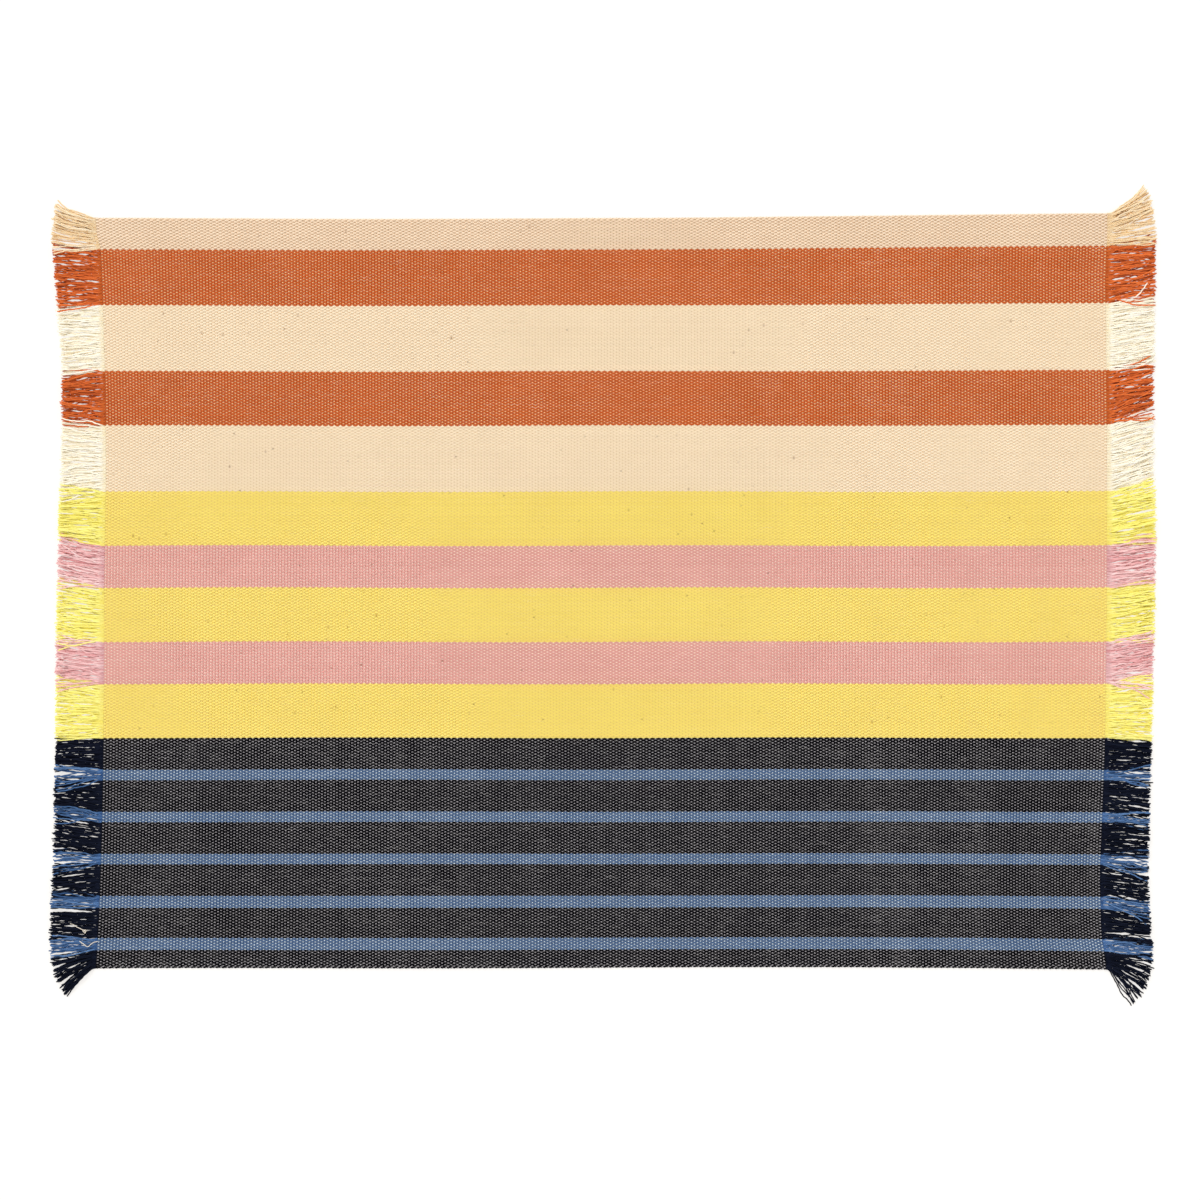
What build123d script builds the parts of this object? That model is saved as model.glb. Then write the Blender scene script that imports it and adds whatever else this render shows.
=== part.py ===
from build123d import *
import os

# A flat-woven cotton bath mat with a loose fringe at both ends.
#
# Frame: origin at the centre of the underside of the woven body, +X along the
# stripes, +Y across them towards the sand-coloured selvedge, +Z up.
# All lengths are in millimetres.

# ---------------------------------------------------------------- yarn and cloth
WARP_PITCH = 1.2        # spacing of the lengthwise yarns (warp ends) across the mat
WARP_THICK = 0.85       # thickness of one flattened warp end
WEFT_PITCH = 2.4        # spacing of the crosswise passes (picks) along the mat
WEFT_WIDTH = 1.2        # width of one pick along X
WEFT_THICK = 0.9        # thickness of one pick
PICKS = 333             # passes of the one weft yarn from selvedge to selvedge
FELL = 3.0              # bare warp between the last pick and the fringe

# ---------------------------------------------------------------- stripes
# Colour and number of warp ends of each stripe, from the +Y selvedge to the -Y one.
STRIPES = [
    ("sand", 21), ("orange", 37), ("cream", 44), ("orange", 36), ("cream", 44),
    ("yellow", 36), ("pink", 28), ("yellow", 36), ("pink", 28), ("yellow", 36),
    ("navy", 21), ("blue", 7), ("navy", 21), ("blue", 7), ("navy", 21), ("blue", 7),
    ("navy", 21), ("blue", 8), ("navy", 20), ("blue", 8), ("navy", 12),
]

# ---------------------------------------------------------------- fringe
FRINGE_LENGTH = 38.0    # from the end of the body to the cut tips
FRINGE_THICK = 2.2      # two layers of loose yarn lying on the ground
TUFT_GAP = 0.3          # clear space on each side of a tuft
CORNER_TIP = 9.0        # how much shorter the splayed corner yarns reach in X
# How far the outermost yarns splay past the selvedge, for each corner of the mat.
SPLAY = {("left", "sand"): 13.0, ("right", "sand"): 22.0,
         ("left", "navy"): 24.0, ("right", "navy"): 30.0}

# ---------------------------------------------------------------- worked out
ENDS = sum(ends for _, ends in STRIPES)
BODY_WIDTH = ENDS * WARP_PITCH
BODY_THICK = 2 * WARP_THICK + WEFT_THICK
WEFT_SPAN = (PICKS - 1) * WEFT_PITCH + WEFT_WIDTH
BODY_LENGTH = WEFT_SPAN + 2 * FELL
SIDES = {"left": -1, "right": 1}


def stripe_edges():
    """The +Y and -Y edges of each stripe, in order."""
    edges = []
    y_high = BODY_WIDTH / 2
    for _, ends in STRIPES:
        y_low = y_high - ends * WARP_PITCH
        edges.append((y_high, y_low))
        y_high = y_low
    return edges


def weft_outline():
    """The outline of one yarn running to and fro: down one of its sides, back up the other."""
    reach = BODY_WIDTH / 2 - WEFT_WIDTH / 2
    first_x = -(PICKS - 1) * WEFT_PITCH / 2
    corners = []
    for pick in range(PICKS):
        x = first_x + pick * WEFT_PITCH
        start, end = (-reach, reach) if pick % 2 == 0 else (reach, -reach)
        corners += [Vector(x, start), Vector(x, end)]
    runs = [(b - a).normalized() for a, b in zip(corners, corners[1:])]
    normals = [Vector(-run.Y, run.X) for run in runs]
    one_side, other_side = [], []
    for i, corner in enumerate(corners):
        before = normals[max(i - 1, 0)]
        after = normals[min(i, len(normals) - 1)]
        turns = 0 < i < len(corners) - 1
        shift = (before + after if turns else after) * (WEFT_WIDTH / 2)
        one_side.append(corner + shift)
        other_side.append(corner - shift)
    return one_side + other_side[::-1]


def tuft_outline(side, colour, y_high, y_low, is_corner):
    """A tuft seen from above. The tuft at a corner of the mat splays past the selvedge."""
    sign = SIDES[side]
    root = sign * BODY_LENGTH / 2
    tip = sign * (BODY_LENGTH / 2 + FRINGE_LENGTH)
    high, low = y_high - TUFT_GAP, y_low + TUFT_GAP
    outline = [(root, high), (tip, high), (tip, low), (root, low)]
    if is_corner:
        splayed_x = tip - sign * CORNER_TIP
        if colour == "sand":
            outline.insert(1, (splayed_x, high + SPLAY[side, colour]))
        else:
            outline.insert(3, (splayed_x, low - SPLAY[side, colour]))
    return outline


os.makedirs("parts", exist_ok=True)
EDGES = stripe_edges()

# ---------------------------------------------------------------- weft
# One continuous natural-cotton yarn that crosses every stripe and turns at both selvedges.
with BuildPart() as weft:
    with BuildSketch(Plane.XY.offset(WARP_THICK)):
        with BuildLine():
            Polyline(*weft_outline(), close=True)
        make_face()
    extrude(amount=WEFT_THICK)
weft.part.label = "weft_yarn"
export_step(weft.part, "parts/weft_yarn.step")

# ---------------------------------------------------------------- warp stripes
# The ends of a stripe pass over and under the picks, so the stripe is a flat sleeve:
# a layer above the weft and a layer below it, joined past the first and last picks.
for number, ((colour, ends), (y_high, y_low)) in enumerate(zip(STRIPES, EDGES), start=1):
    name = f"stripe_{number:02d}_{colour}"
    middle = (y_high + y_low) / 2
    width = y_high - y_low
    with BuildPart() as stripe:
        with BuildSketch(Plane((0, middle, 0))):
            Rectangle(BODY_LENGTH, width)
        extrude(amount=BODY_THICK)
        with BuildSketch(Plane((0, middle, WARP_THICK))):
            Rectangle(WEFT_SPAN, width)
        extrude(amount=WEFT_THICK, mode=Mode.SUBTRACT)
    stripe.part.label = name
    export_step(stripe.part, f"parts/{name}.step")

# ---------------------------------------------------------------- fringe
# The loose ends of each stripe make one tuft at each end of the mat. The tufts of
# one colour and one end are separate solids in one node.
for side in SIDES:
    for colour in dict.fromkeys(colour for colour, _ in STRIPES):
        name = f"fringe_{side}_{colour}"
        with BuildPart() as fringe:
            with BuildSketch(Plane.XY):
                for number, (stripe_colour, _) in enumerate(STRIPES):
                    if stripe_colour == colour:
                        is_corner = number in (0, len(STRIPES) - 1)
                        with BuildLine():
                            Polyline(
                                *tuft_outline(side, colour, *EDGES[number], is_corner),
                                close=True,
                            )
                        make_face()
            extrude(amount=FRINGE_THICK)
        fringe.part.label = name
        export_step(fringe.part, f"parts/{name}.step")

print(f"{ENDS} ends, {PICKS} picks, body {BODY_LENGTH:.1f} x {BODY_WIDTH:.1f} x {BODY_THICK:.1f} mm")
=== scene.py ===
import math

import bpy
import numpy as np
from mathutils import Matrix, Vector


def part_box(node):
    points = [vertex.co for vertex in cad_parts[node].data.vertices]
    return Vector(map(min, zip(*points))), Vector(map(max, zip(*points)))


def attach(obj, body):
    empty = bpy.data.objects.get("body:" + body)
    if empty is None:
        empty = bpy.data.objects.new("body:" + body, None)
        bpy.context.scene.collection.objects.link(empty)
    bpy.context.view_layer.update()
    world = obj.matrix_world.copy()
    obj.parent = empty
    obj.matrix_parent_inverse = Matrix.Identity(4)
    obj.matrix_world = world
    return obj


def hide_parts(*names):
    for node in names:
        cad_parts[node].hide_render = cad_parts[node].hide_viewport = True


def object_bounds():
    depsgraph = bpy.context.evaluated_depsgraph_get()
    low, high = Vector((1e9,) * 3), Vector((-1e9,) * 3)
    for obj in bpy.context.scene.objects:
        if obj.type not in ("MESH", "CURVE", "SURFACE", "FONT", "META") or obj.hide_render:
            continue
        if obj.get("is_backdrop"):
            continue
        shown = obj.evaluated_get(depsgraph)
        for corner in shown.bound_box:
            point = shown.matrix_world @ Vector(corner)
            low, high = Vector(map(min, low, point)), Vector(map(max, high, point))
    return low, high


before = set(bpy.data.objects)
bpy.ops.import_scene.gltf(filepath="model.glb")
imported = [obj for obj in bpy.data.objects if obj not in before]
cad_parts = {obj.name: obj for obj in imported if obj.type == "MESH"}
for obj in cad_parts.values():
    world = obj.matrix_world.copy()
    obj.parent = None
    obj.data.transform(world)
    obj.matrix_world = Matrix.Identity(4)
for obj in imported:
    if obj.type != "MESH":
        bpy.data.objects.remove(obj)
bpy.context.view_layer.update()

# A striped, flat-woven cotton bath mat with a loose fringe, built yarn by yarn.
# Lengths are in metres. The cloth is first laid out flat and straight ("nominal"),
# then lay() relaxes it into the slightly uneven shape of a real mat on a floor.

MM = 0.001

# ---------------------------------------------------------------- cloth
WARP_PITCH = 1.2 * MM
WEFT_PITCH = 2.4 * MM
WARP_HALF_THICK = 0.43 * MM
WARP_HALF_CROWN = 0.91 * MM    # half width where an end floats over a pick
WARP_HALF_CROSSING = 0.59 * MM  # half width where the ends pass each other
WEFT_HALF_WIDTH = 0.72 * MM
WEFT_HALF_THICK = 0.46 * MM
WARP_SIDES = 5
WEFT_SIDES = 6
WEFT_STEP = 14 * MM             # longest straight stretch of a pick
TURN_RINGS = 5                  # round one selvedge turn
FELL = 1.2 * MM                 # woven colour past the last pick
PLUMP_SMALL = 0.028             # how much plumper the yarns grow in patches 9 mm across
PLUMP_LARGE = 0.012             # and in patches 34 mm across

STRIPE_NODES = sorted(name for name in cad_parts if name.startswith("stripe_"))
WEFT_NODE = "weft_yarn"
BODY_LOW = np.min([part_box(name)[0] for name in STRIPE_NODES], axis=0)
BODY_HIGH = np.max([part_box(name)[1] for name in STRIPE_NODES], axis=0)
HALF_LENGTH = BODY_HIGH[0]
HALF_WIDTH = BODY_HIGH[1]
MID_Z = (BODY_LOW[2] + BODY_HIGH[2]) / 2
CRIMP = WARP_HALF_THICK + WEFT_HALF_THICK
WEFT_LOW, WEFT_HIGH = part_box(WEFT_NODE)
PICKS = 1 + round((WEFT_HIGH[0] - WEFT_LOW[0]) / WEFT_PITCH - 0.5)
PICK_X = (np.arange(PICKS) - (PICKS - 1) / 2) * WEFT_PITCH
ENDS = round((BODY_HIGH[1] - BODY_LOW[1]) / WARP_PITCH)
END_Y = HALF_WIDTH - (np.arange(ENDS) + 0.5) * WARP_PITCH

# Stripes from the top edge down: colour, and the first and last + 1 of its warp ends.
STRIPES = []
for stripe_node in STRIPE_NODES:
    low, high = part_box(stripe_node)
    first = STRIPES[-1][2] if STRIPES else 0
    STRIPES.append((stripe_node.split("_")[2], first, first + round((high[1] - low[1]) / WARP_PITCH)))

# ---------------------------------------------------------------- fringe
FRINGE_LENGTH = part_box("fringe_right_cream")[1][0] - HALF_LENGTH
PLIES = 3                       # each end parts into this many strands
STRAND_ROOT = 0.40 * MM         # radius at the root, which blooms to STRAND_RADIUS
STRAND_RADIUS = 0.52 * MM
STRAND_SQUASH = 0.9             # height over width of a loose strand
STRAND_RINGS = 34
STRAND_SIDES = 5
STRAND_TURN = 6 * MM            # a strand has turned to its own heading this far from its root
ROOT_BOUNCE = 0.45 * MM         # how far the ends still rise and dip past the last pick
NESTING = 0.50                  # strands that cross bed into each other by the rest
LENGTH_SCATTER = 0.018          # how unevenly the strands are cut, as a share of their length
CURL_SCATTER = 6                # degrees
WANDER = 1.0                    # how far a tip lies from its place, in mm
STRAY_SHARE = 0.07              # the share of strands that stray by chance,
STRAY_WANDER = 3.0              # and how far, in mm
SLOW_SWAY = 0.10                # how far a strand's heading sways along it, in radians
QUICK_SWAY = 0.07
KEPT_CRIMP = 0.12               # how far its heading still swings from the weave, in radians
RAISED_SHARE = 0.15             # the share of tips that stand up a little,
TIP_RISE = (0.3, 2.2)           # and by how much, in mm
SIDES = {"left": -1, "right": 1}

# Millimetres the tips have drifted up (+) or down (-) at the top edge, at each border between
# two stripes, and at the bottom edge.
DRIFT = {
    "left": [12.0, 2.0, 0.0, -2.3, 3.0, -3.6, 6.2, 7.6, 0.0, 4.6, -2.0, 1.6, -1.6, 3.4, 7.7, 3.0,
             -3.7, -1.0, 1.6, 0.0, -4.6, -23.0],
    "right": [18.4, 0.8, 6.1, 6.2, 9.3, 10.6, 4.6, 3.9, 5.8, 5.4, -3.4, 0.6, -1.0, -4.6, -1.5, -0.8,
              -2.8, -4.8, -4.3, -3.8, -1.0, -27.0],
}
# The line that the tips are cut to: heights on the mat, from the bottom edge (-1) to the top
# edge (1), and how many millimetres it lies outside the end of a straight woven body there.
TIP_LINE = {
    "left": ([-1.0, -0.94, -0.7, -0.4, 0.0, 0.45, 0.6, 0.92, 1.0],
             [41.0, 44.5, 41.5, 39.4, 38.8, 34.2, 34.4, 42.0, 42.0]),
    "right": ([-1.0, -0.95, -0.73, -0.4, -0.13, 0.2, 0.5, 0.92, 1.0],
              [38.4, 38.2, 35.2, 37.8, 40.4, 41.6, 40.2, 41.6, 40.2]),
}
# How far the strands at the top and bottom edge curl towards their tips, in degrees.
EDGE_CURL = {"left": (18, -14), "right": (10, -10)}
# The ends at either edge of the mat, whose strands gather into a denser brush.
DOUBLED = 11
EXTRA_PLIES = 2
# How far the strands of each colour stray from lying side by side.
UNRULY = {
    "sand": 1.0, "orange": 1.4, "cream": 0.9, "yellow": 1.0, "pink": 1.1, "navy": 1.0, "blue": 1.2,
}

# Strands that stray from their tuft: side, stripe, place in it (0 top to 1 bottom), drift of
# the tip in mm, and how far the outer half curls, in degrees. Each moves two strands of its end,
# the second by SECOND_DRIFT and SECOND_CURL times as much, so that the two part.
SECOND_DRIFT, SECOND_CURL = 0.5, -0.4
STRAYS = [
    ("left", 1, 0.99, -5.2, 4), ("left", 1, 0.93, -1.0, 16), ("left", 1, 0.88, 0.2, 12),
    ("left", 2, 0.99, -3.2, -5), ("left", 2, 0.95, -2.6, 8),
    ("left", 6, 0.01, 5.4, -3), ("left", 6, 0.05, 4.6, -8), ("left", 6, 0.09, 3.4, -4),
    ("left", 7, 0.97, 0.2, -14), ("left", 7, 0.85, 1.6, -20),
    ("left", 8, 0.98, -7.0, 38), ("left", 8, 0.94, 2.0, 6),
    ("left", 9, 0.98, -4.0, -6), ("left", 9, 0.93, -3.0, -10), ("left", 9, 0.03, 4.0, 14),
    ("left", 12, 0.10, 5.4, 6), ("left", 12, 0.25, 4.6, -6), ("left", 12, 0.40, 3.2, 10),
    ("left", 12, 0.75, -9.5, -6), ("left", 12, 0.88, -8.0, -10), ("left", 12, 0.99, -6.4, -4),
    ("left", 16, 0.85, -7.5, -6), ("left", 16, 0.95, -8.8, 5), ("left", 16, 0.60, -4.5, -8),
    ("left", 20, 0.10, 3.0, 4), ("left", 20, 0.95, -7.0, -4), ("left", 20, 0.70, -5.0, 6),
    ("right", 1, 0.30, 17.0, 10), ("right", 1, 0.05, 21.0, 8), ("right", 1, 0.97, -2.6, 18),
    ("right", 2, 0.20, 4.8, -22), ("right", 3, 0.04, 9.5, 44), ("right", 3, 0.98, 1.2, 30),
    ("right", 4, 0.05, 10.4, 12), ("right", 4, 0.30, 3.0, 26), ("right", 4, 0.90, 4.0, 18),
    ("right", 6, 0.12, 13.0, 8), ("right", 8, 0.60, 1.5, 44), ("right", 8, 0.98, 0.6, -12),
    ("right", 9, 0.05, 9.6, 10), ("right", 9, 0.12, 9.0, -12), ("right", 9, 0.94, -3.4, -14),
    ("right", 9, 0.98, -7.8, -10), ("right", 10, 0.25, 1.0, -50),
    ("right", 12, 0.30, 4.4, -10), ("right", 12, 0.80, -4.2, -12), ("right", 14, 0.20, 3.6, 8),
    ("right", 16, 0.90, -8.2, 14), ("right", 16, 0.70, -5.0, 8), ("right", 17, 0.20, 3.0, 10),
    ("right", 18, 0.95, -5.4, -6),
    ("right", 21, 0.99, -29.5, -6), ("right", 21, 0.92, -28.5, 10), ("right", 21, 0.80, -21.0, -72),
]

rng = np.random.default_rng(171)


def smooth(t):
    """Rises from 0 to 1 as t does, with level ends."""
    t = np.clip(t, 0.0, 1.0)
    return t * t * (3 - 2 * t)


def slow_noise(count, length, knots, size):
    """Smooth random curves, one row each."""
    values = rng.normal(0, size, (count, knots))
    where = np.linspace(0, knots - 1.001, length)
    low = where.astype(int)
    share = smooth(where - low)
    return values[:, low] * (1 - share) + values[:, low + 1] * share


def patches(cell):
    """A smooth random field over the cloth with patches about cell across, about -1 to 1."""
    across = int(2.4 * HALF_LENGTH / cell) + 2
    along = int(2.4 * HALF_WIDTH / cell) + 2
    values = rng.normal(0, 0.6, (across, along))

    def at(x, y):
        i = np.clip((x + 1.2 * HALF_LENGTH) / cell, 0, across - 1.001)
        j = np.clip((y + 1.2 * HALF_WIDTH) / cell, 0, along - 1.001)
        i0, j0 = i.astype(int), j.astype(int)
        si, sj = smooth(i - i0), smooth(j - j0)
        top = values[i0, j0] * (1 - si) + values[i0 + 1, j0] * si
        bottom = values[i0, j0 + 1] * (1 - si) + values[i0 + 1, j0 + 1] * si
        return top * (1 - sj) + bottom * sj

    return at


# ---------------------------------------------------------------- how the mat lies
# How far the right edge stands outside a straight line, in mm, at heights from bottom to top.
RIGHT_EDGE = ([-0.98, -0.91, -0.75, -0.42, 0.0, 0.4, 0.84, 0.95],
              [1.6, -2.2, -3.4, 0.6, 2.3, 2.3, 1.1, 2.6])


def edge_shift(u, v):
    """Millimetres that the cloth has moved outwards along its length. u and v run from -1 to 1."""
    left = 0.4 + 4.0 * v**2 + 3.0 * v**4 - 2.3 * smooth(v / 0.4) * smooth((0.965 - v) / 0.05)
    return np.where(u < 0, left, np.interp(v, *RIGHT_EDGE)) * np.minimum(np.abs(u), 1.1) ** 4


def lay(points):
    """Takes nominal points to where the relaxed mat lies: slightly waisted, slightly wavy."""
    x, y, z = points[..., 0], points[..., 1], points[..., 2]
    u, v = x / HALF_LENGTH, y / HALF_WIDTH
    top_rise = 4.4 * smooth((u - 0.05) / 0.95) + 0.5 * np.sin(5.1 * u + 0.7)
    bottom_drop = -1.1 * u**4 + 0.5 * np.sin(4.3 * u)
    shift = np.where(v > 0, top_rise * v**3, bottom_drop * np.abs(v) ** 3)
    shift = shift + 0.35 * np.sin(7.0 * u + 3.0 * v) * (1 - v**2)
    hills = (
        np.sin(6.2 * u + 1.3) * np.cos(3.1 * v - 0.4)
        + 0.6 * np.sin(11.0 * u - 4.0 * v)
        + 0.5 * np.cos(8.0 * v + 2.5 * u + 1.0)
    )
    lift = 0.08 + 0.45 * (hills + 2.1) / 2.1
    return np.stack(
        [x + np.sign(u) * edge_shift(u, v) * MM, y + shift * MM, z + lift * MM], axis=-1
    )


# ---------------------------------------------------------------- tubes
def tube_frames(paths):
    """Unit vectors across and up each path, square to its run."""
    run = np.gradient(paths, axis=1)
    run /= np.linalg.norm(run, axis=-1, keepdims=True)
    across = np.stack([-run[..., 1], run[..., 0], np.zeros_like(run[..., 0])], axis=-1)
    across /= np.maximum(np.linalg.norm(across, axis=-1, keepdims=True), 1e-9)
    return across, np.cross(run, across)


def tube_mesh(name, paths, half_width, half_thick, sides, tone, stain_and_painted_light):
    """One mesh of capped tubes. paths is (tubes, rings, 3); the half sizes are per ring.

    tone is a number per tube for its material to vary by, and the last argument multiplies the
    colour at each ring: real flecks, and also painted shade and painted reflected colour.
    """
    tubes, rings = paths.shape[:2]
    across, up = tube_frames(paths)
    angle = math.pi / 2 + np.arange(sides) * 2 * math.pi / sides
    wide = (half_width[..., None] * np.cos(angle))[..., None] * across[:, :, None, :]
    high = (half_thick[..., None] * np.sin(angle))[..., None] * up[:, :, None, :]
    verts = (paths[:, :, None, :] + wide + high).reshape(-1, 3)
    tube_start = np.arange(tubes)[:, None, None] * rings * sides
    ring_start = np.arange(rings - 1)[None, :, None] * sides
    here = np.arange(sides)[None, None, :]
    after = (here + 1) % sides
    base = tube_start + ring_start
    quads = np.stack(
        [base + here, base + after, base + after + sides, base + here + sides], axis=-1
    ).reshape(-1, 4)
    first = (tube_start[:, 0, :] + here[:, 0, ::-1]).reshape(-1, sides)
    last = (tube_start[:, 0, :] + (rings - 1) * sides + here[:, 0, :]).reshape(-1, sides)
    corners = np.concatenate([quads.ravel(), first.ravel(), last.ravel()]).astype(np.int32)
    sizes = np.concatenate(
        [np.full(len(quads), 4), np.full(len(first) + len(last), sides)]
    ).astype(np.int32)
    starts = np.concatenate([[0], np.cumsum(sizes)[:-1]]).astype(np.int32)
    mesh = bpy.data.meshes.new(name)
    mesh.vertices.add(len(verts))
    mesh.vertices.foreach_set("co", verts.astype(np.float32).ravel())
    mesh.loops.add(len(corners))
    mesh.loops.foreach_set("vertex_index", corners)
    mesh.polygons.add(len(sizes))
    mesh.polygons.foreach_set("loop_start", starts)
    mesh.polygons.foreach_set("use_smooth", np.ones(len(sizes), bool))
    mesh.update(calc_edges=True)
    tones = mesh.attributes.new("tone", "FLOAT", "POINT")
    tones.data.foreach_set("value", np.repeat(tone, rings * sides).astype(np.float32))
    tints = mesh.attributes.new("stain_and_painted_light", "BYTE_COLOR", "POINT")
    colours = np.ones((tubes, rings, sides, 4))
    colours[..., :3] = np.broadcast_to(stain_and_painted_light, (tubes, rings, 3))[:, :, None, :]
    tints.data.foreach_set("color", colours.astype(np.float32).ravel())
    return mesh


def piece(name, mesh, material, slot, *nodes):
    """An object that rides on the mat's one body and stands for nodes of the frame."""
    ob = bpy.data.objects.new(name, mesh)
    bpy.context.scene.collection.objects.link(ob)
    ob.data.materials.append(material)
    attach(ob, "root")
    if nodes:
        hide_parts(*nodes)
    return ob


# ---------------------------------------------------------------- materials
def node(tree, kind, **inputs):
    """A new shader node with these inputs set."""
    made = tree.nodes.new(kind)
    for key, value in inputs.items():
        made.inputs[key.replace("_", " ")].default_value = value
    return made


def maths(tree, operation, first, second):
    """A maths node; each of first and second is a socket or a number."""
    made = tree.nodes.new("ShaderNodeMath")
    made.operation = operation
    for socket, value in zip(made.inputs, (first, second)):
        if isinstance(value, (int, float)):
            socket.default_value = value
        else:
            tree.links.new(value, socket)
    return made.outputs[0]


def cotton(name, dark, light, fuzz=0.10, single=0.18, streaks=0.8, soft=0.0, along="x"):
    """Matt twisted cotton yarn, its tone wandering between dark and light.

    single is how far one yarn's tone differs from the next one's, and streaks how far it
    changes along a yarn. soft is how much light soaks into it.
    """
    material = bpy.data.materials.new(name)
    material.use_nodes = True
    tree = material.node_tree
    link = tree.links.new
    shader = tree.nodes["Principled BSDF"]
    place = node(tree, "ShaderNodeTexCoord").outputs["Object"]
    tone = node(tree, "ShaderNodeAttribute")
    tone.attribute_name = "tone"
    # This attribute multiplies the dyed colour: it carries real flecks, and also painted shade and
    # painted reflected colour.
    stain_and_painted_light = node(tree, "ShaderNodeAttribute")
    stain_and_painted_light.attribute_name = "stain_and_painted_light"

    stretch = node(tree, "ShaderNodeMapping")
    stretch.inputs["Scale"].default_value = (90, 900, 900) if along == "x" else (900, 90, 900)
    link(place, stretch.inputs["Vector"])
    fibre = node(tree, "ShaderNodeTexNoise", Scale=1.0, Detail=3.0)
    link(stretch.outputs[0], fibre.inputs["Vector"])
    broad = node(tree, "ShaderNodeTexNoise", Scale=22.0, Detail=3.0)
    link(place, broad.inputs["Vector"])

    drift = maths(tree, "MULTIPLY", maths(tree, "SUBTRACT", tone.outputs["Fac"], 0.5), single)
    streak = maths(tree, "MULTIPLY", maths(tree, "SUBTRACT", fibre.outputs["Fac"], 0.5), streaks)
    cloud = maths(tree, "MULTIPLY", maths(tree, "SUBTRACT", broad.outputs["Fac"], 0.5), 0.5)
    share = maths(tree, "ADD", maths(tree, "ADD", drift, streak), maths(tree, "ADD", cloud, 0.5))
    share = maths(tree, "MINIMUM", maths(tree, "MAXIMUM", share, 0.0), 1.0)
    dyed = node(tree, "ShaderNodeMix")
    dyed.data_type = "RGBA"
    dyed.inputs[6].default_value = (*dark, 1)
    dyed.inputs[7].default_value = (*light, 1)
    link(share, dyed.inputs["Factor"])
    tinted = node(tree, "ShaderNodeMix")
    tinted.data_type = "RGBA"
    tinted.blend_type = "MULTIPLY"
    tinted.inputs["Factor"].default_value = 1.0
    link(dyed.outputs[2], tinted.inputs[6])
    link(stain_and_painted_light.outputs["Color"], tinted.inputs[7])
    link(tinted.outputs[2], shader.inputs["Base Color"])

    twist = node(tree, "ShaderNodeMapping")
    twist.inputs["Rotation"].default_value = (0, 0, math.radians(32 if along == "x" else 58))
    link(place, twist.inputs["Vector"])
    ply = node(tree, "ShaderNodeTexWave", Scale=330.0, Distortion=1.5, Detail=1.0)
    ply.inputs["Detail Scale"].default_value = 2.0
    link(twist.outputs[0], ply.inputs["Vector"])
    link(maths(tree, "MULTIPLY", tone.outputs["Fac"], 40.0), ply.inputs["Phase Offset"])
    hairs = node(tree, "ShaderNodeTexNoise", Scale=2600.0, Detail=2.0)
    link(place, hairs.inputs["Vector"])
    bump = node(tree, "ShaderNodeBump", Strength=0.35, Distance=0.12 * MM)
    link(maths(tree, "ADD", ply.outputs["Fac"], hairs.outputs["Fac"]), bump.inputs["Height"])
    link(bump.outputs[0], shader.inputs["Normal"])

    rough = node(tree, "ShaderNodeMapRange")
    rough.inputs["To Min"].default_value = 0.78
    rough.inputs["To Max"].default_value = 0.96
    link(fibre.outputs["Fac"], rough.inputs["Value"])
    link(rough.outputs[0], shader.inputs["Roughness"])
    shader.inputs["Specular IOR Level"].default_value = fuzz
    shader.inputs["Sheen Weight"].default_value = fuzz
    shader.inputs["Sheen Roughness"].default_value = 0.5
    if soft:
        shader.inputs["Subsurface Weight"].default_value = soft
        shader.inputs["Subsurface Radius"].default_value = (1.0, 0.95, 0.9)
        shader.inputs["Subsurface Scale"].default_value = 1.2 * MM
    return material


WOVEN = {
    "sand": cotton("sand_woven", (0.81, 0.61, 0.43), (0.94, 0.76, 0.57)),
    "orange": cotton("orange_woven", (0.445, 0.075, 0.011), (0.66, 0.135, 0.025)),
    "cream": cotton("cream_woven", (0.86, 0.705, 0.505), (0.955, 0.805, 0.60)),
    "yellow": cotton("yellow_woven", (0.86, 0.68, 0.16), (0.96, 0.80, 0.21)),
    "pink": cotton("pink_woven", (0.65, 0.295, 0.255), (0.84, 0.455, 0.40)),
    "navy": cotton("navy_woven", (0.0030, 0.0028, 0.0040), (0.006, 0.0055, 0.008), 0.02),
    "blue": cotton("blue_woven", (0.058, 0.102, 0.20), (0.095, 0.16, 0.29), 0.04),
}
LOOSE = {
    "sand": cotton("sand_loose", (0.83, 0.575, 0.305), (0.94, 0.785, 0.57), 0.1, 0.9, 1.6, 0.25),
    "orange": cotton("orange_loose", (0.58, 0.102, 0.016), (0.86, 0.205, 0.044), 0.1, 0.7, 1.6),
    "cream": cotton("cream_loose", (0.98, 0.89, 0.69), (1.00, 0.96, 0.86), 0.1, 0.8, 1.6, 0.25),
    "yellow": cotton("yellow_loose", (0.96, 0.84, 0.18), (1.00, 0.93, 0.33), 0.1, 0.8, 1.6, 0.25),
    "pink": cotton("pink_loose", (0.78, 0.36, 0.36), (0.98, 0.70, 0.68), 0.1, 1.0, 1.6, 0.25),
    "navy": cotton("navy_loose", (0.003, 0.004, 0.010), (0.009, 0.012, 0.026), 0.02, 0.8, 1.6),
    "blue": cotton("blue_loose", (0.032, 0.083, 0.205), (0.126, 0.235, 0.445), 0.04, 1.0, 1.6),
}
NATURAL = cotton("natural_weft", (0.93, 0.88, 0.80), (0.97, 0.94, 0.88), along="y")

# What shows through of the natural weft is painted with the colour reflected from the ends on either
# side of it, and with painted shade where it lies low between them.
WEFT_PAINTED_CAST_AND_SHADE = {
    "sand": (0.62, 0.45, 0.29), "orange": (1.00, 0.70, 0.40), "cream": (0.82, 0.66, 0.47),
    "yellow": (0.85, 0.66, 0.22), "pink": (1.00, 0.86, 0.80), "navy": (0.455, 0.45, 0.50),
    "blue": (0.74, 0.87, 1.00),
}
FLECK = np.array([0.30, 0.18, 0.09])
FLECKS_PER_END = {"sand": 0.8, "cream": 1.6, "yellow": 1.8, "pink": 1.2}
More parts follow.
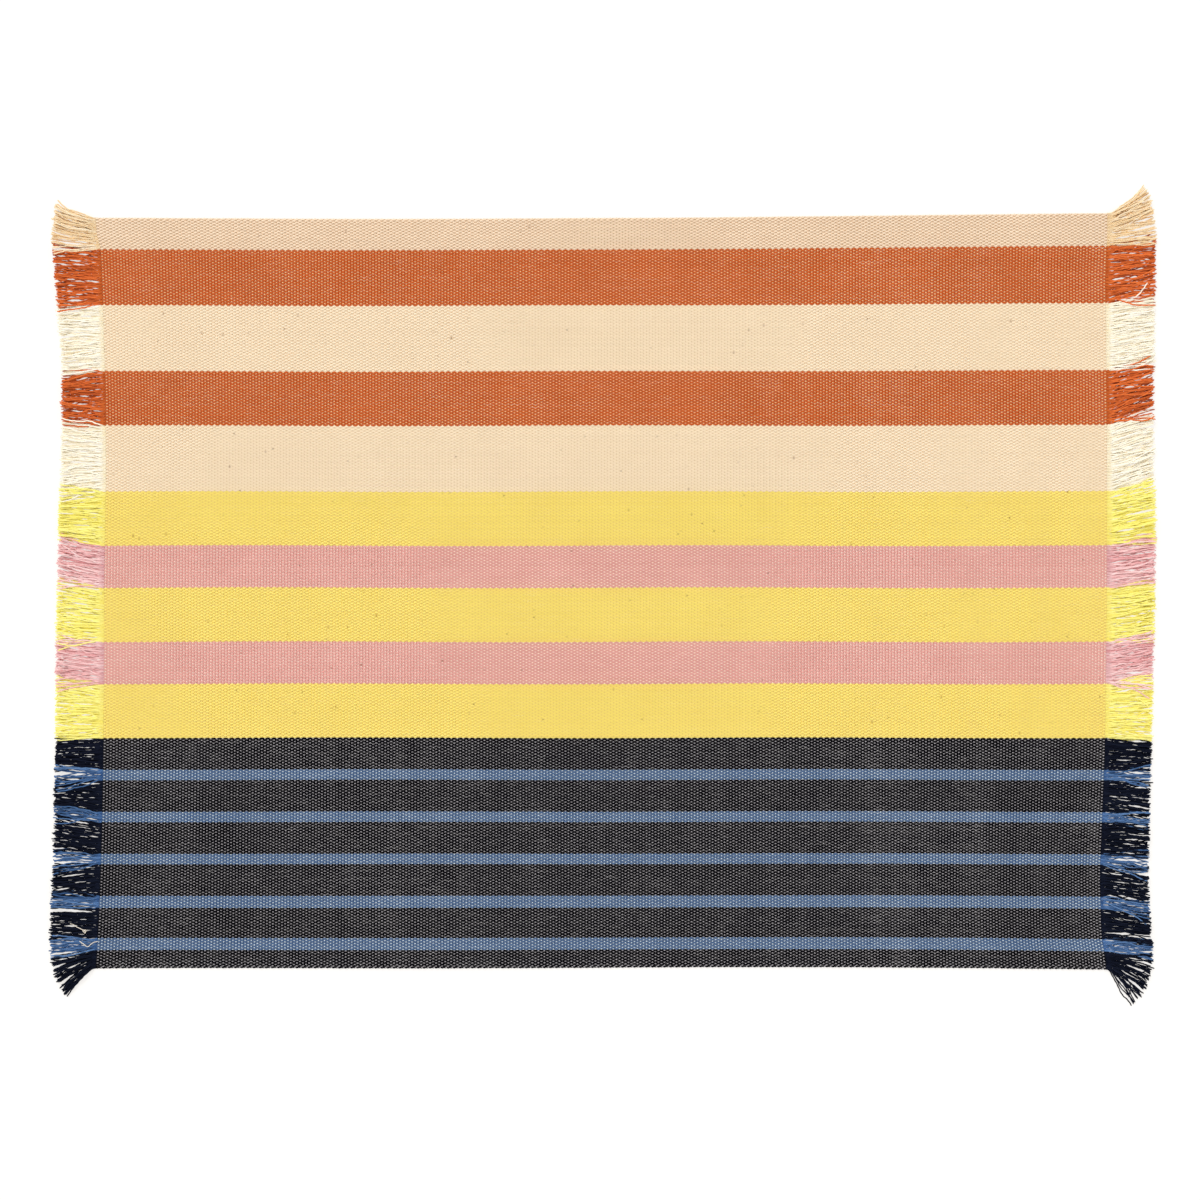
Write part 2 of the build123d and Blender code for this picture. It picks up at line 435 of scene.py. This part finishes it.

# Painted shade: how much darker the lowest strand of a fringe is painted than the one on top, for the
# shade of the strands lying over it.
SHADED = {
    "sand": (0.05, 0.14, 0.32), "orange": (0.45, 0.55, 0.55), "cream": (0.03, 0.08, 0.18),
    "yellow": (0.06, 0.08, 0.35), "pink": (0.15, 0.28, 0.26), "navy": (0.30, 0.30, 0.30),
    "blue": (0.30, 0.25, 0.20),
}

# Painted shade where a loose strand leaves the cloth: what its colour is multiplied by there.
ROOT_PAINTED_SHADE = {
    "sand": (0.98, 0.93, 0.84), "orange": (0.72, 0.70, 0.62), "cream": (0.97, 0.91, 0.78),
    "yellow": (0.97, 0.92, 0.80), "pink": (0.86, 0.78, 0.80), "navy": (1.0, 1.0, 1.0),
    "blue": (0.78, 0.85, 0.92),
}


# ---------------------------------------------------------------- woven body
def warp_rings():
    """Nominal X of each ring, and which way an even end goes there: 1 over, -1 under, 0 crossing."""
    x = np.empty(2 * PICKS + 1)
    x[1::2] = PICK_X
    x[2:-1:2] = PICK_X[:-1] + WEFT_PITCH / 2
    x[0], x[-1] = PICK_X[0] - FELL, PICK_X[-1] + FELL
    way = np.zeros(2 * PICKS + 1)
    way[1::2] = 1 - 2 * (np.arange(PICKS) % 2)
    return x, way


RING_X, RING_WAY = warp_rings()
BEAT = slow_noise(1, len(RING_X), PICKS // 3, 0.012) + slow_noise(1, len(RING_X), 24, 0.012)
SMALL_PATCHES = patches(9 * MM)
LARGE_PATCHES = patches(34 * MM)


def woven_stripe(name, colour, first, last):
    """One stripe of the cloth: warp ends first to last - 1, each over and under every pick."""
    rings = len(RING_X)
    index = np.arange(first, last)
    ends = len(index)
    sign = 1 - 2 * (index % 2)
    over = sign[:, None] * RING_WAY[None, :]
    height = CRIMP * over * (1 + slow_noise(ends, rings, 60, 0.03))
    side = slow_noise(ends, rings, 120, 0.035 * MM)
    x = np.broadcast_to(RING_X, (ends, rings))
    y = END_Y[index][:, None] + side
    crown = np.abs(RING_WAY)[None, :]
    plump = 1 + slow_noise(ends, rings, 150, 0.035) + rng.normal(0, 0.015, (ends, 1)) + BEAT
    plump = plump + PLUMP_SMALL * SMALL_PATCHES(x, y) + PLUMP_LARGE * LARGE_PATCHES(x, y)
    half_width = (WARP_HALF_CROSSING + (WARP_HALF_CROWN - WARP_HALF_CROSSING) * crown) * plump
    half_thick = np.broadcast_to(WARP_HALF_THICK, half_width.shape) * (1 + 0.4 * (plump - 1))
    stain_and_painted_light = np.ones((ends, rings, 3))
    for _ in range(rng.poisson(ends * FLECKS_PER_END.get(colour, 0))):
        strength = 0.1 + 0.7 * rng.random() ** 3
        stain_and_painted_light[rng.integers(ends), rng.integers(1, rings - 1)] = 1 - strength * (1 - FLECK)
    paths = lay(np.stack([x, y, MID_Z + height], axis=-1))
    mesh = tube_mesh(name, paths, half_width, half_thick, WARP_SIDES, rng.random(ends), stain_and_painted_light)
    return piece(name, mesh, WOVEN[colour], f"{colour}_cotton")


def weft_run():
    """Y of the rings of one pick, from bottom to top, close together at each border."""
    reach = HALF_WIDTH - WEFT_PITCH / 2 - WEFT_HALF_WIDTH
    borders = [HALF_WIDTH - first * WARP_PITCH for _, first, _ in STRIPES[1:]]
    stops = [-reach] + [b + d for b in borders[::-1] for d in (-0.1 * MM, 0.1 * MM)] + [reach]
    run = []
    for start, end in zip(stops[:-1], stops[1:]):
        steps = max(1, math.ceil((end - start) / WEFT_STEP))
        run += [start + (end - start) * k / steps for k in range(steps)]
    return np.array(run + [reach])


def weft_path():
    """One yarn to and fro across the mat, with a round turn at each selvedge, and its painted colour
    cast and shade.
    """
    run = weft_run()
    turn = np.linspace(0, math.pi, TURN_RINGS + 2)[1:-1]
    points = []
    for pick, x in enumerate(PICK_X):
        way = 1 if pick % 2 == 0 else -1
        points += [(x, y, MID_Z) for y in run[::way]]
        if pick < PICKS - 1:
            middle = x + WEFT_PITCH / 2
            points += [
                (middle - math.cos(a) * WEFT_PITCH / 2,
                 way * (run[-1] + math.sin(a) * WEFT_PITCH / 2),
                 MID_Z)
                for a in turn
            ]
    points = np.array(points)
    # Painted reflected colour and painted shade along the weft, by the stripe that it crosses.
    end = np.clip((HALF_WIDTH - points[:, 1]) / WARP_PITCH, 0, ENDS - 1).astype(int)
    tints = np.empty((len(points), 3))
    for colour, first, last in STRIPES:
        tints[(end >= first) & (end < last)] = WEFT_PAINTED_CAST_AND_SHADE[colour]
    return points[None], tints[None]


for stripe_node, (colour, first, last) in zip(STRIPE_NODES, STRIPES):
    stripe = woven_stripe(f"woven_{stripe_node[7:]}", colour, first, last)
    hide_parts(stripe_node)

path, weft_cast_and_shade = weft_path()
weft_rings = path.shape[1]
weft_mesh = tube_mesh(
    "weft", lay(path),
    np.full((1, weft_rings), WEFT_HALF_WIDTH), np.full((1, weft_rings), WEFT_HALF_THICK),
    WEFT_SIDES, np.array([0.5]), weft_cast_and_shade,
)
weft = piece("weft", weft_mesh, NATURAL, "natural_weft", WEFT_NODE)


# ---------------------------------------------------------------- fringe
def tufted(side):
    """The strands of one side: warp end, place, heading, curl, length, strays, and how unruly.

    place counts warp ends down from the top edge, with the strands of one end spread over it.
    """
    extra = [np.arange(DOUBLED), np.arange(ENDS - DOUBLED, ENDS)] * EXTRA_PLIES
    end = np.sort(np.concatenate([np.arange(ENDS)] * PLIES + extra))
    count = len(end)
    place = end + (np.arange(count) - np.searchsorted(end, end) + 0.5) / np.bincount(end)[end]
    borders = [0] + [last for _, _, last in STRIPES]
    edges = [0, STRIPES[0][2], STRIPES[-1][1], ENDS]
    drift = np.interp(place, borders, DRIFT[side])
    height = 1 - 2 * place / ENDS
    edge = edge_shift(SIDES[side] * (1 + FRINGE_LENGTH / HALF_LENGTH), height)
    length = (np.interp(height, *TIP_LINE[side]) - edge) * (
        1 + rng.normal(0, LENGTH_SCATTER, count)
    ) * MM
    edge_curl = np.interp(place, edges, [EDGE_CURL[side][0], 0, 0, EDGE_CURL[side][1]])
    curl = np.radians(edge_curl + rng.normal(0, CURL_SCATTER, count))
    stray = rng.random(count) < STRAY_SHARE
    unruly = [UNRULY[colour] for colour, first, last in STRIPES for _ in range(first, last)]
    unruly = np.array(unruly)[end]
    wander = rng.normal(0, WANDER, count) * unruly
    start = 0
    while start < count:
        members = np.arange(start, min(start + rng.integers(4, 18), count))
        gather = rng.uniform(-0.05, 0.18) * (members - members.mean()) * WARP_PITCH / PLIES / MM
        wander[members] += rng.normal(0, 0.35) + gather
        start = members[-1] + 1
    wander[stray] += rng.normal(0, STRAY_WANDER, stray.sum())
    drift = drift + wander - np.sin(np.radians(edge_curl)) * 0.22 * length / MM
    for where, stripe, share, tip, bend in STRAYS:
        if where == side:
            _, first, last = STRIPES[stripe - 1]
            strands = np.flatnonzero(end == first + int(share * (last - first)))[:2]
            drift[strands] = tip * np.array([1.0, SECOND_DRIFT])
            curl[strands] = np.radians(bend) * np.array([1.0, SECOND_CURL])
            stray[strands] = True
    heading = np.arcsin(np.clip(drift * MM / (length - STRAND_TURN / 2), -0.93, 0.93))
    return end, place, heading, curl, length, stray, unruly[:, None]


def strand_plans(side):
    """Paths of the loose strands of one side, seen from above."""
    end, place, heading, curl, length, stray, unruly = tufted(side)
    count = len(end)
    s = np.linspace(0, 1, STRAND_RINGS)[None, :]
    far = s * length[:, None]
    freed = smooth(far / (2.5 * MM))
    turned = smooth(far / STRAND_TURN)
    sway = slow_noise(count, STRAND_RINGS, 5, SLOW_SWAY)
    sway = sway + slow_noise(count, STRAND_RINGS, 11, QUICK_SWAY)
    crimp = KEPT_CRIMP * np.sin(2 * math.pi * (far / (2 * WEFT_PITCH) + rng.random((count, 1))))
    angle = heading[:, None] * turned + (sway * unruly + crimp) * freed
    angle = angle + curl[:, None] * smooth((s - 0.45) / 0.55)
    step = length[:, None] / (STRAND_RINGS - 1)
    run = np.cumsum(np.cos(angle) * step, axis=1) - np.cos(angle[:, :1]) * step
    rise = np.cumsum(np.sin(angle) * step, axis=1) - np.sin(angle[:, :1]) * step
    x = SIDES[side] * (PICK_X[-1] + FELL - 0.3 * MM + run)
    y = (HALF_WIDTH - place * WARP_PITCH)[:, None] + rise
    bounce = np.sin(math.pi * far / WEFT_PITCH) * (1 - smooth(far / (5 * MM)))
    over = (1 - 2 * (end % 2))[:, None] * (1 if side == "left" else (-1) ** PICKS)
    z = MID_Z + rng.normal(0, 0.1 * MM, (count, 1)) - ROOT_BOUNCE * over * bounce
    plans = lay(np.stack([x, y, z], axis=-1))
    return end, plans, far, stray


CELL = 0.2 * MM
FOOTPRINT = np.linspace(-0.9, 0.9, 7)
DOME = np.sqrt(1 - FOOTPRINT**2)


def settle(plans, far, stray):
    """Lets the strands down on the floor one by one, each lying over those below it."""
    low = plans[..., :2].min(axis=(0, 1)) - 2 * MM
    high = plans[..., :2].max(axis=(0, 1)) + 2 * MM
    ground = np.zeros(np.ceil((high - low) / CELL).astype(int) + 1)
    order = np.argsort(rng.random(len(plans)) + stray)
    layer = np.empty(len(plans))
    layer[order] = np.linspace(0, 1, len(plans))
    fine = np.linspace(0, STRAND_RINGS - 1, STRAND_RINGS * 5)
    coarse = np.arange(STRAND_RINGS)
    half = STRAND_RADIUS * STRAND_SQUASH * NESTING
    spread = np.hanning(25)
    spread /= spread.sum()
    raised = rng.random(len(plans)) < RAISED_SHARE
    tip_lift = np.where(raised, rng.uniform(*TIP_RISE, len(plans)), 0) * MM
    for strand in order:
        plan = plans[strand]
        x, y = np.interp(fine, coarse, plan[:, 0]), np.interp(fine, coarse, plan[:, 1])
        dx, dy = np.gradient(x), np.gradient(y)
        size = np.hypot(dx, dy)
        over_x = x[:, None] - dy[:, None] / size[:, None] * FOOTPRINT * STRAND_RADIUS
        over_y = y[:, None] + dx[:, None] / size[:, None] * FOOTPRINT * STRAND_RADIUS
        i = ((over_x - low[0]) / CELL).astype(int)
        j = ((over_y - low[1]) / CELL).astype(int)
        rest = (ground[i, j] + half * DOME).max(axis=1)
        rest = np.max([np.roll(rest, k) for k in range(-3, 4)], axis=0)
        rest = np.convolve(np.pad(rest, 12, "edge"), spread, "valid")
        root = np.interp(fine, coarse, plan[:, 2]) - STRAND_RADIUS * STRAND_SQUASH + half
        away = np.interp(fine, coarse, far[strand])
        z = np.maximum(root + (rest - root) * smooth((away - 1 * MM) / (5 * MM)), 0)
        z = z + tip_lift[strand] * smooth((fine / fine[-1] - 0.6) / 0.4) ** 2
        np.maximum.at(ground, (i, j), z[:, None] + half * DOME)
        plans[strand, :, 2] = np.interp(coarse, fine, z) + STRAND_RADIUS * STRAND_SQUASH - half
        plans[strand, :, 2] += 0.1 * MM
    return plans, layer


def tail_curve(points):
    """A smooth curve through points given in millimetres, with the rings of one strand."""
    points = np.array(points) * MM
    knots = np.linspace(0, STRAND_RINGS - 1, len(points))
    rings = np.arange(STRAND_RINGS)
    curve = np.stack([np.interp(rings, knots, points[:, axis]) for axis in (0, 1)], axis=-1)
    for _ in range(40):
        curve[1:-1] += 0.5 * ((curve[:-2] + curve[2:]) / 2 - curve[1:-1])
    return np.concatenate([curve, np.full((STRAND_RINGS, 1), MID_Z)], axis=1)


def knot(centre, size):
    """A small overhand knot: a trefoil with the rings of one strand."""
    t = np.linspace(0, 2 * math.pi, STRAND_RINGS)
    shape = [np.sin(t) + 2 * np.sin(2 * t), np.cos(t) - 2 * np.cos(2 * t), -1.2 * np.sin(3 * t)]
    return centre + size * np.stack(shape, axis=-1) / 3


# Two loose ends of weft on the left fringe near the bottom corner, in millimetres. The second
# starts at its knot.
TAILS = [
    [(-399, -279), (-403.6, -277.2), (-409, -278.8), (-412, -280.4), (-411.2, -283.8), (-414, -283.6),
     (-415.8, -280.4), (-419.4, -278.2)],
    [(-415.2, -270.2), (-417.5, -268.6), (-420.5, -267.4), (-424, -265.2), (-427, -264.2)],
]

TAIL_RADIUS = 0.34 * MM
TAIL_STAIN = np.array([0.80, 0.76, 0.70])
KNOT_SIZE = 1.5 * MM

for side in SIDES:
    end, plans, far, stray = strand_plans(side)
    count = len(end)
    if side == "left":
        tails = np.stack([tail_curve(tail) for tail in TAILS])
        plans = np.concatenate([plans, tails])
        far = np.concatenate([far, np.full((len(TAILS), STRAND_RINGS), FRINGE_LENGTH)])
        stray = np.concatenate([stray, [2] * len(TAILS)])
    paths, layer = settle(plans, far, stray)
    if side == "left":
        tails = paths[count:]
        tied = knot(tails[1, 0] + np.array([0, 0, 0.4 * MM]), KNOT_SIZE)
        tail_paths = np.concatenate([tails, tied[None]])
        paths, layer, far = paths[:count], layer[:count], far[:count]
    radius = STRAND_ROOT + (STRAND_RADIUS - STRAND_ROOT) * smooth(far / (6 * MM))
    radius = radius * (1 + slow_noise(count, STRAND_RINGS, 20, 0.05))
    radius[:, -1] *= 0.8
    tones = 0.6 * rng.random(ENDS)[end] + 0.4 * rng.random(count)
    # Painted shade near the roots, fading out from 1.5 to 5 mm past the cloth.
    near_root = (1 - smooth((far - 1.5 * MM) / (3.5 * MM)))[..., None]
    # Painted shade: the lower a strand lies in the pile, the darker it is painted, away from the root.
    under = (1 - near_root) * (1 - layer[:, None, None])
    for colour in dict.fromkeys(colour for colour, _, _ in STRIPES):
        mine = np.zeros(count, bool)
        for name, first, last in STRIPES:
            mine |= (name == colour) & (end >= first) & (end < last)
        name = f"loose_{side}_{colour}"
        stain_and_painted_light = 1 - near_root[mine] * (1 - np.array(ROOT_PAINTED_SHADE[colour]))
        stain_and_painted_light = stain_and_painted_light * (1 - under[mine] * np.array(SHADED[colour]))
        mesh = tube_mesh(
            name, paths[mine], radius[mine], radius[mine] * STRAND_SQUASH, STRAND_SIDES,
            tones[mine], stain_and_painted_light,
        )
        piece(name, mesh, LOOSE[colour], f"{colour}_cotton", f"fringe_{side}_{colour}")

thin = np.full(tail_paths.shape[:2], TAIL_RADIUS)
tail_mesh = tube_mesh(
    "weft_tails", tail_paths, thin, thin, STRAND_SIDES, rng.random(len(tail_paths)),
    TAIL_STAIN,
)
piece("weft_tails", tail_mesh, NATURAL, "natural_weft")

# ---------------------------------------------------------------- floor, light, camera
floor_mesh = bpy.data.meshes.new("floor")
FLOOR_REACH = 12.0
floor_corners = [(i * FLOOR_REACH, j * FLOOR_REACH, 0) for i, j in ((-1, -1), (1, -1), (1, 1), (-1, 1))]
floor_mesh.from_pydata(floor_corners, [], [(0, 1, 2, 3)])
floor = bpy.data.objects.new("floor", floor_mesh)
bpy.context.scene.collection.objects.link(floor)
floor_paint = bpy.data.materials.new("floor_paint")
floor_paint.use_nodes = True
floor_shader = floor_paint.node_tree.nodes["Principled BSDF"]
# Partly lit from within, like a light table, so that gaps between strands stay light.
floor_shader.inputs["Base Color"].default_value = (0.32, 0.32, 0.32, 1)
floor_shader.inputs["Emission Color"].default_value = (1, 0.97, 0.93, 1)
floor_shader.inputs["Emission Strength"].default_value = 0.68
floor_shader.inputs["Roughness"].default_value = 0.9
floor_shader.inputs["Specular IOR Level"].default_value = 0.1
floor_mesh.materials.append(floor_paint)
floor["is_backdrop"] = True

world = bpy.data.worlds.new("studio")
world.use_nodes = True
world.node_tree.nodes["Background"].inputs["Color"].default_value = (1, 1, 1, 1)
world.node_tree.nodes["Background"].inputs["Strength"].default_value = 1.0
bpy.context.scene.world = world

key_data = bpy.data.lights.new("key", "SUN")
key_data.energy = 0.95
key_data.angle = math.radians(25)
key = bpy.data.objects.new("key", key_data)
key.rotation_euler = (math.radians(-30), math.radians(-22), 0)
bpy.context.scene.collection.objects.link(key)

FRAME_WIDTH = 0.96
LENS, SENSOR = 85.0, 36.0
CAMERA_X, CAMERA_Y = -3.6 * MM, -5.6 * MM
camera_data = bpy.data.cameras.new("camera")
camera_data.lens = LENS
camera_data.sensor_width = SENSOR
camera = bpy.data.objects.new("camera", camera_data)
camera.location = (CAMERA_X, CAMERA_Y, FRAME_WIDTH * LENS / SENSOR)
bpy.context.scene.collection.objects.link(camera)
bpy.context.scene.camera = camera
bpy.context.scene.view_settings.view_transform = "Standard"

low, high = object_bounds()
